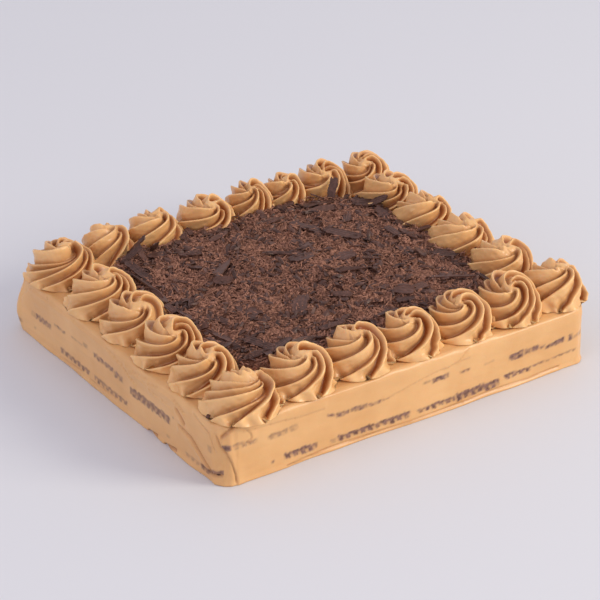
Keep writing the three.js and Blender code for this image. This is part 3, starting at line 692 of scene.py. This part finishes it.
def bed_grain(x, y):
    """The fine relief of the matted curls."""
    return ripple(x, y, 0 * x, 3.2, 33) + 0.8 * ripple(x, y, 0 * x, 1.7, 34)


def squared(angle):
    """How far a square with well rounded corners reaches at an angle."""
    return (np.abs(np.cos(angle)) ** 4 + np.abs(np.sin(angle)) ** 4) ** -0.25


def bed_place(u, v):
    """The bed's skin: u goes round it and v from under its edge to its middle."""
    angle = 2 * math.pi * u
    share = np.clip((1 - v) * TURN_IN, 0, TURN_IN)
    reach = np.minimum(share, 1)
    x = BED_REACH_X * reach * squared(angle) * np.cos(angle)
    y = BED_REACH_Y * reach * squared(angle) * np.sin(angle)
    z = bed_top(x, y) + BED_RELIEF * bed_grain(x, y) - EDGE_DROP * ramp(0.93, 1, reach)
    z = np.where(share > 1, CAKE_HEIGHT - 0.5, z)
    x, y = np.where(share > CLOSED, 0, x), np.where(share > CLOSED, 0, y)
    return x, y, z


bed = sheet("chocolate_bed", BED_COLUMNS, BED_ROWS, bed_place)
bpy.ops.object.select_all(action="DESELECT")
bed.select_set(True)
bpy.context.view_layer.objects.active = bed
bpy.ops.object.mode_set(mode="EDIT")
bpy.ops.mesh.select_all(action="SELECT")
bpy.ops.mesh.normals_make_consistent(inside=False)
bpy.ops.object.mode_set(mode="OBJECT")


def curl(length, width, thickness, bend, twist, steps):
    """One shaving as a closed strip, thin and three-sided, curling as it came off the block."""
    points, faces = [], []
    for step in range(steps + 1):
        share = step / steps
        turn = bend * (share - 0.5)
        roll = twist * (share - 0.5)
        swell = 0.25 + 0.75 * math.sin(math.pi * min(1, max(0, share * 0.86 + 0.07)))
        half = 0.5 * width * swell
        reach = length / bend if abs(bend) > 0.01 else 0
        along = reach * math.sin(turn) if reach else length * (share - 0.5)
        up = reach * (1 - math.cos(turn)) if reach else 0
        for side, lift in ((-half, 0), (half, 0), (0, thickness)):
            across = side * math.cos(roll) - lift * math.sin(roll)
            rise = side * math.sin(roll) + lift * math.cos(roll)
            points.append((along - rise * math.sin(turn), across, -up + rise * math.cos(turn)))
    for step in range(steps):
        base = 3 * step
        for a, b in ((0, 1), (1, 2), (2, 0)):
            faces.append((base + a, base + a + 3, base + b + 3))
            faces.append((base + a, base + b + 3, base + b))
    last = 3 * steps
    faces += [(0, 1, 2), (last, last + 2, last + 1)]
    return np.array(points), np.array(faces)


def scattered(name, shapes, places, headings, tilts, rolls, sizes, draw):
    """Joins copies of a few shapes, each turned and set down at its place, into one mesh."""
    points, faces, shade, count = [], [], [], 0
    for number, (place, heading, tilt, roll, size) in enumerate(
            zip(places, headings, tilts, rolls, sizes)):
        shape, corners = shapes[number % len(shapes)]
        ch, sh, ct, st = math.cos(heading), math.sin(heading), math.cos(tilt), math.sin(tilt)
        cr, sr = math.cos(roll), math.sin(roll)
        turned = shape @ np.array([[1, 0, 0], [0, cr, -sr], [0, sr, cr]]).T
        turned = turned @ np.array([[ct, 0, -st], [0, 1, 0], [st, 0, ct]]).T
        turned = turned @ np.array([[ch, -sh, 0], [sh, ch, 0], [0, 0, 1]]).T
        points.append(turned * size + place)
        faces.append(corners + count)
        shade.append(np.full(len(shape), draw.uniform()))
        count += len(shape)
    mesh = bpy.data.meshes.new(name)
    points = np.concatenate(points) * MM + np.array(block_centre)
    mesh.from_pydata(points.tolist(), [], np.concatenate(faces).tolist())
    made = bpy.data.objects.new(name, mesh)
    bpy.context.scene.collection.objects.link(made)
    set_layer(made, "piece_shade", np.concatenate(shade))
    return made


def room_at(x, y):
    """Clearance from the nearest rosette's foot, seen from above."""
    return np.min([np.hypot(x - a, y - b) - radius for a, b, radius in feet], axis=0)


def on_bed(count, draw, margin):
    """Random places on the bed that keep margin mm clear of the rosettes."""
    x = draw.uniform(-BED_REACH_X, BED_REACH_X, 3 * count)
    y = draw.uniform(-BED_REACH_Y, BED_REACH_Y, 3 * count)
    inside = np.abs(x / BED_REACH_X) ** 4 + np.abs(y / BED_REACH_Y) ** 4 < 0.97
    keep = inside & (room_at(x, y) > margin)
    return x[keep][:count], y[keep][:count]


def strew(name, shapes, count, seed, margin, tilt, lifts, smallest, biggest):
    """Scatters shavings over the bed, lying every way, between the two lifts above its body."""
    draw = np.random.default_rng(seed)
    x, y = on_bed(count, draw, margin)
    z = bed_top(x, y) + CURL_RELIEF * bed_grain(x, y)
    z += draw.uniform(*lifts, len(x))
    places = np.stack([x, y, z], -1)
    headings = draw.uniform(0, 2 * math.pi, len(x))
    tilts = draw.normal(0, tilt, len(x))
    rolls = draw.normal(0, 1.5 * tilt, len(x))
    sizes = draw.uniform(smallest, biggest, len(x))
    return scattered(name, shapes, places, headings, tilts, rolls, sizes, draw)


short_curls = [curl(2.6, 0.9, 0.35, 1.4, 0.6, 3), curl(3.2, 0.7, 0.3, 2.2, -0.8, 4),
               curl(2.2, 1.1, 0.35, 0.8, 0.3, 2)]
long_curls = [curl(5.5, 0.9, 0.35, 1.8, 1.2, 5), curl(6.5, 0.75, 0.3, 1.1, -1.0, 5),
              curl(4.8, 1.1, 0.35, 2.8, 0.7, 6)]
wide_curls = [curl(6.0, 1.9, 0.4, 0.9, 0.5, 4), curl(4.6, 2.4, 0.45, 0.5, 0.2, 3),
              curl(7.5, 1.7, 0.4, 1.4, -0.6, 5)]
grated_short = strew("grated_short", short_curls, 8200, 41, -2, 0.45, (-0.3, 0.9), 0.7, 1.3)
grated_long = strew("grated_long", long_curls, 5000, 42, -0.5, 0.45, (-0.2, 1.2), 0.7, 1.2)
shaved_wide = strew("shaved_wide", wide_curls, 900, 43, 0.5, 0.35, (0.3, 1.6), 0.7, 1.4)

# Curls that slid down the mat's edge, into the gaps between the rosettes.
EDGE_CURLS, EDGE_INSET = 1500, 0.4
draw = np.random.default_rng(46)
angle = draw.uniform(0, 2 * math.pi, EDGE_CURLS)
x = (BED_REACH_X - EDGE_INSET) * squared(angle) * np.cos(angle)
y = (BED_REACH_Y - EDGE_INSET) * squared(angle) * np.sin(angle)
in_gap = room_at(x, y) > -2
x, y = x[in_gap], y[in_gap]
z = CAKE_HEIGHT + draw.uniform(0.5, BED_EDGE_HEIGHT, len(x))
grated_edge = scattered("grated_edge", short_curls, np.stack([x, y, z], -1),
                        draw.uniform(0, 2 * math.pi, len(x)), draw.normal(0, 0.7, len(x)),
                        draw.normal(0, 0.7, len(x)), draw.uniform(0.8, 1.5, len(x)), draw)

# Broad shavings and broken slabs: x, y, length, width, heading in degrees, tilt in degrees.
BIG_SHAVINGS = [
    (33, 38.8, 23, 6.5, -64, 4), (43, 20.8, 22, 6, -60, 6), (52, 54.7, 20, 5, -3, 10),
    (3.7, 19.1, 17, 3.5, -38, 5), (8.2, 8.8, 14, 7, -10, 8), (29.3, -2, 11, 9, -7, 12),
    (18.6, -15.3, 26, 4, -27, 4), (-37.5, 19.1, 30, 6, 34, 10), (-41.3, 9, 10, 6, -41, 12),
    (-30.7, 15.7, 18, 1.6, -115, 14), (-46.1, -26.2, 22, 8, -77, 10),
    (-22.7, -35.5, 17, 8, -130, 22), (-35.7, 46.7, 9, 6, -20, 5), (-42.5, 35, 8, 4, -43, 5),
    (20.2, 58.2, 15, 4, -2, 8), (2.1, -37.8, 10, 6, -34, 6), (27.6, -58, 10, 6, -20, 14),
    (-71, -35.3, 22, 6, -71, 16),
    (-68, -62, 13, 5, -1, 12), (-72.5, 35.6, 26, 6, -89, 22), (-54, -62, 18, 5, 17, 14),
    (-74, -48, 13, 5, -57, 12), (66, -20, 12, 6, 70, 15), (68, 8, 12, 5, 95, 15),
    (60, 40, 12, 5, 50, 10), (-12, 58, 14, 5, 15, 12), (-50, 58, 13, 5, -15, 12),
    (40, -52, 13, 5, 10, 12), (-20, -60, 14, 5, -8, 12), (62, -48, 11, 6, 40, 15),
    (-58.8, -57, 27, 5.5, -69, 10), (-62, -23, 17, 4, -73, 14), (60, -49, 34, 3.5, -38, 6),
    (77, -26, 14, 8, -63, 14), (79, 50, 14, 7, -40, 14), (57, 64, 20, 6, -2, 12),
    (-69, 48, 24, 5, -88, 20), (75, 3, 12, 7, -84, 14), (79, 32, 15, 5, -95, 14),
    (31, -52, 11, 7, -40, 10), (-76, -8, 16, 4, -88, 20), (-76, 14, 14, 4, -100, 20),
    (10, -63, 16, 4, -12, 15), (-38, -64, 18, 4, -4, 15),
]
# Pieces that stand on end towards the far corners, a chip caught on a rosette and a crumb on the rim:
# x, y, z, length, width, heading in degrees, tilt in degrees.
STRAY_SHAVINGS = [
    (-58, 68, 46, 15, 4, -40, 50), (-50, 63, 45, 13, 4.5, -110, 42), (-65, 62, 45, 14, 4, -20, 38),
    (-60, 60, 44, 12, 5, 100, 35), (70, 68, 46, 12, 5, 30, 65), (84, 44, 44, 12, 6, -50, 30),
    (88.7, -37.9, 44.4, 6.5, 1.8, -10, 78), (-113.2, -88.7, 34.0, 2.6, 1.8, 40, 10),
]
SLAB_COLUMNS, SLAB_ROWS, SLAB_THICKNESS = 16, 7, 0.55


def slab(length, width, seed):
    """A broad shaving: a thin plate, grooved by the blade along its length, with torn edges."""
    draw = np.random.default_rng(seed)
    columns, rows = SLAB_COLUMNS, SLAB_ROWS
    bow, cup = draw.uniform(0.5, 1.6), draw.uniform(-0.6, 0.9)
    ragged = draw.uniform(-0.09, 0.09, (2, rows + 1))
    narrow, power = draw.uniform(0.1, 0.85, 2), draw.uniform(1.4, 4.5, 2)
    sway = draw.uniform(-0.12, 0.12)
    torn = draw.uniform(-0.07, 0.07, (columns + 1, 2))
    points, faces = [], []
    for layer, lift in enumerate((0.0, SLAB_THICKNESS)):
        for i in range(columns + 1):
            for j in range(rows + 1):
                s, t = i / columns - 0.5, j / rows - 0.5
                end, edge = int(s > 0), int(t > 0)
                taper = 1 - narrow[end] * abs(2 * s) ** power[end]
                along = length * s * (1 + ragged[end, j] * abs(2 * s))
                across = t * taper + sway * (4 * s * s - 0.3)
                if j in (0, rows):
                    across += torn[i, edge]
                groove = 0.16 * math.sin(23 * t + seed) + 0.1 * math.sin(41 * t + 2 * seed)
                arch = bow * (0.25 - s * s) + cup * t * t
                points.append((along, width * across, arch + lift + groove * layer))
    stride = rows + 1
    size = (columns + 1) * stride
    for i in range(columns):
        for j in range(rows):
            a, b = i * stride + j, (i + 1) * stride + j
            faces += [(a, a + 1, b + 1), (a, b + 1, b)]
            faces += [(size + a, size + b, size + b + 1), (size + a, size + b + 1, size + a + 1)]
    rim = [(i * stride, (i + 1) * stride) for i in range(columns)]
    rim += [(columns * stride + j, columns * stride + j + 1) for j in range(rows)]
    rim += [(i * stride + rows, (i - 1) * stride + rows) for i in range(columns, 0, -1)]
    rim += [(j, j - 1) for j in range(rows, 0, -1)]
    for a, b in rim:
        faces += [(a, b, size + b), (a, size + b, size + a)]
    return np.array(points), np.array(faces)


# How far the middle of a broad shaving lies above the bed's body, and how far the stray ones roll.
BIG_LIFT, STRAY_ROLL = 1.0, 0.3
draw = np.random.default_rng(44)
big_places, big_headings, big_tilts, big_rolls, big_shapes = [], [], [], [], []
for number, (x, y, length, width, heading, tilt) in enumerate(BIG_SHAVINGS):
    big_shapes.append(slab(length, width, number + 1))
    big_places.append((x, y, float(bed_top(np.array([x]), np.array([y]))[0]) + BIG_LIFT))
    big_headings.append(math.radians(heading))
    big_tilts.append(math.radians(tilt) * draw.uniform(-0.6, 0.6))
    big_rolls.append(math.radians(tilt) * draw.uniform(-1.5, 1.5))
for number, (x, y, z, length, width, heading, tilt) in enumerate(STRAY_SHAVINGS):
    big_shapes.append(slab(length, width, number + 70))
    big_places.append((x, y, z))
    big_headings.append(math.radians(heading))
    big_tilts.append(math.radians(tilt))
    big_rolls.append(STRAY_ROLL)
broad = scattered("shaved_broad", big_shapes, np.array(big_places), big_headings, big_tilts,
                  big_rolls, np.ones(len(big_places)), draw)

# Broken flakes, darker and a little glossy, thickest close to the rosettes: how close, and the
# share of the places tried that get one there and elsewhere.
RIM_REACH, RIM_FLAKES, OTHER_FLAKES = 5, 0.11, 0.012
flake_shapes = [slab(7, 3.2, 61), slab(5, 3.8, 62), slab(9, 2.8, 63)]
x, y = on_bed(4000, draw, -0.5)
wanted = np.where(room_at(x, y) < RIM_REACH, RIM_FLAKES, OTHER_FLAKES)
kept = draw.uniform(0, 1, len(x)) < wanted
x, y = x[kept], y[kept]
z = bed_top(x, y) + draw.uniform(0.2, 1.4, len(x))
flakes = scattered("broken_flakes", flake_shapes, np.stack([x, y, z], -1),
                   draw.uniform(0, 2 * math.pi, len(x)), draw.normal(0, 0.25, len(x)),
                   draw.normal(0, 0.35, len(x)), draw.uniform(0.6, 1.25, len(x)), draw)


def chocolate(name, dark, light, roughness, shine, coarse):
    """Dark chocolate: fine shavings dulled and reddened by the grater, broad pieces darker, with a
    soft shine. Each piece's own shade puts it between dark and light."""
    made, nodes, links = material(name)
    shader = nodes["Principled BSDF"]
    where = node(nodes, "ShaderNodeTexCoord").outputs["Object"]
    mottle = node(nodes, "ShaderNodeTexNoise", in_Scale=55.0, in_Detail=4.0)
    scuff = node(nodes, "ShaderNodeTexNoise", in_Scale=coarse, in_Detail=3.0, in_Roughness=0.65)
    links.new(where, mottle.inputs["Vector"])
    links.new(where, scuff.inputs["Vector"])
    own = node(nodes, "ShaderNodeAttribute", attribute_name="piece_shade").outputs["Fac"]
    both = nodes.new("ShaderNodeMath")
    both.operation = "MULTIPLY_ADD"
    both.inputs[1].default_value = 0.55
    links.new(own, both.inputs[0])
    links.new(spread(nodes, links, mottle.outputs["Fac"], 0.1, 1.1), both.inputs[2])
    body = mixed(nodes, links, both.outputs[0], dark, light)
    bloom = spread(nodes, links, scuff.outputs["Fac"], 0.45, 0.8)
    links.new(mixed(nodes, links, bloom, body, tuple(min(1, 1.7 * c) for c in light)),
              shader.inputs["Base Color"])
    shader.inputs["Roughness"].default_value = roughness
    shader.inputs["Specular IOR Level"].default_value = shine
    bump = node(nodes, "ShaderNodeBump", in_Strength=0.5, in_Distance=0.0003)
    links.new(scuff.outputs["Fac"], bump.inputs["Height"])
    links.new(bump.outputs["Normal"], shader.inputs["Normal"])
    return made


grated_finish = chocolate("grated_chocolate", (0.055, 0.021, 0.012), (0.335, 0.166, 0.112),
                          0.75, 0.12, 900.0)
shaved_finish = chocolate("shaved_chocolate", (0.024, 0.010, 0.007), (0.100, 0.046, 0.033),
                          0.42, 0.3, 500.0)
# The bed's body is nearly as dark as the darkest curls.
BED_SHADE = 0.1
set_layer(bed, "piece_shade", np.full(len(bed.data.vertices), BED_SHADE))
for piece, finish in ((bed, grated_finish), (grated_short, grated_finish),
                      (grated_long, grated_finish), (grated_edge, grated_finish),
                      (shaved_wide, shaved_finish), (broad, shaved_finish),
                      (flakes, shaved_finish)):
    piece.data.materials.append(finish)
    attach(piece, "root")
    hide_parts("chocolate_shavings")

# ---------------------------------------------------------------- the room
# A plain pale floor under soft studio light: a warm lamp to the right of the front, a weaker pink
# one to the left, cool light all round.

FLOOR_SIZE = 6
bpy.ops.object.select_all(action="DESELECT")
bpy.ops.mesh.primitive_plane_add(size=FLOOR_SIZE, location=(0, 0, 0))
floor = bpy.context.object
floor.name = floor.data.name = "table_top"
table, nodes, links = material("pale_table")
nodes["Principled BSDF"].inputs["Base Color"].default_value = (0.71, 0.725, 0.757, 1)
nodes["Principled BSDF"].inputs["Roughness"].default_value = 0.7
floor.data.materials.append(table)

world = bpy.data.worlds.new("room_light")
bpy.context.scene.world = world
world.use_nodes = True
world.node_tree.nodes["Background"].inputs["Color"].default_value = (0.94, 0.91, 1.0, 1)
world.node_tree.nodes["Background"].inputs["Strength"].default_value = 0.72


def lamp(name, place, size, power, colour):
    """A square lamp that shines on the cake, its place and size in metres."""
    light = bpy.data.lights.new(name, "AREA")
    light.size, light.energy, light.color = size, power, colour
    holder = bpy.data.objects.new(name, light)
    bpy.context.scene.collection.objects.link(holder)
    holder.location = place
    holder.rotation_euler = (-Vector(place)).to_track_quat("-Z", "Y").to_euler()


lamp("key_light", (1.5, -1.6, 1.05), 0.9, 35.5, (1.0, 0.93, 0.79))
lamp("fill_light", (-1.8, -0.5, 1.1), 1.5, 7, (1.0, 0.90, 1.0))

# The camera looks from the picture's own place, found from the block's corners and the rosettes:
# where it is from the block's middle, how far round and down it looks, and its focal length.
CAMERA_PLACE = (-678.02, -993.09, 657.84)
CAMERA_TURN, CAMERA_DOWN = math.radians(55.628), math.radians(27.734)
CAMERA_LENS, SENSOR_WIDTH = 153.43, 36
lens = bpy.data.cameras.new("camera")
lens.lens, lens.sensor_width = CAMERA_LENS, SENSOR_WIDTH
camera = bpy.data.objects.new("camera", lens)
bpy.context.scene.collection.objects.link(camera)
camera.location = Vector(CAMERA_PLACE) * MM + block_centre
facing = Vector((math.cos(CAMERA_DOWN) * math.cos(CAMERA_TURN),
                 math.cos(CAMERA_DOWN) * math.sin(CAMERA_TURN), -math.sin(CAMERA_DOWN)))
camera.rotation_euler = facing.to_track_quat("-Z", "Y").to_euler()
bpy.context.scene.camera = camera
bpy.context.scene.view_settings.view_transform = "Standard"
